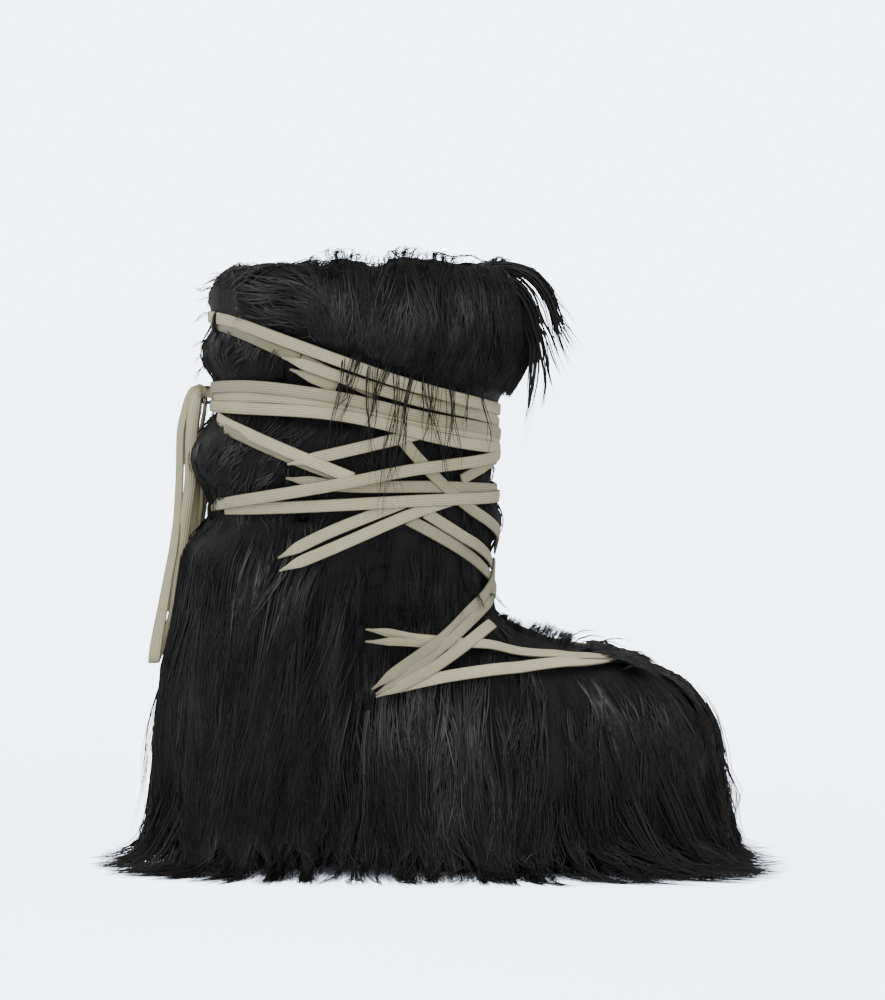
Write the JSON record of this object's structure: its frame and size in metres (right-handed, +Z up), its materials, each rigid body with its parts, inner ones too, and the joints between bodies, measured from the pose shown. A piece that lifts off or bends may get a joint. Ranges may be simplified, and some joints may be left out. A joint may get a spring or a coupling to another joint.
{
  "type": "sheepskin boot",
  "caption": "Tall empty boot of long-haired black sheepskin on a rubber sole, wound round the shaft and instep with a flat woven lace and tied in a bow at the back.",
  "frame": {"origin": "on the floor, on the flat forepart of the outsole's tread, on the boot's middle plane, 146 mm in front of the rear of the outsole", "axes": "+Z up from the floor, +X towards the toe, Y across the boot; the plane y = 0 is the boot's middle plane"},
  "size_m": [0.3902, 0.2012, 0.3574],
  "materials": {
    "black_rubber": "matt moulded rubber",
    "black_hide": "suede hide with felt lining",
    "grey_felt": "felt",
    "black_fur": "long glossy hair",
    "black_webbing": "woven webbing",
    "khaki_lace": "flat woven cotton"
  },
  "bodies": {
    "root": {"outsole": "black_rubber", "upper": "black_hide", "insole": "grey_felt", "fur_collar": "black_fur", "fur_shaft": "black_fur", "fur_heel": "black_fur", "fur_foot": "black_fur", "lace_wrap": "khaki_lace", "lace_knot": "khaki_lace", "lace_loop_near": "khaki_lace", "lace_loop_far": "khaki_lace", "lace_end_near": "khaki_lace", "lace_end_far": "khaki_lace", "loop_rear_top_near": "black_webbing", "loop_rear_top_far": "black_webbing", "loop_rear_low_near": "black_webbing", "loop_rear_low_far": "black_webbing", "loop_side_top_near": "black_webbing", "loop_side_top_far": "black_webbing", "loop_side_middle_near": "black_webbing", "loop_side_middle_far": "black_webbing", "loop_side_low_near": "black_webbing", "loop_side_low_far": "black_webbing", "loop_ankle_near": "black_webbing", "loop_ankle_far": "black_webbing", "loop_vamp_near": "black_webbing", "loop_vamp_far": "black_webbing", "loop_toe": "black_webbing"}
  },
  "joints": []
}
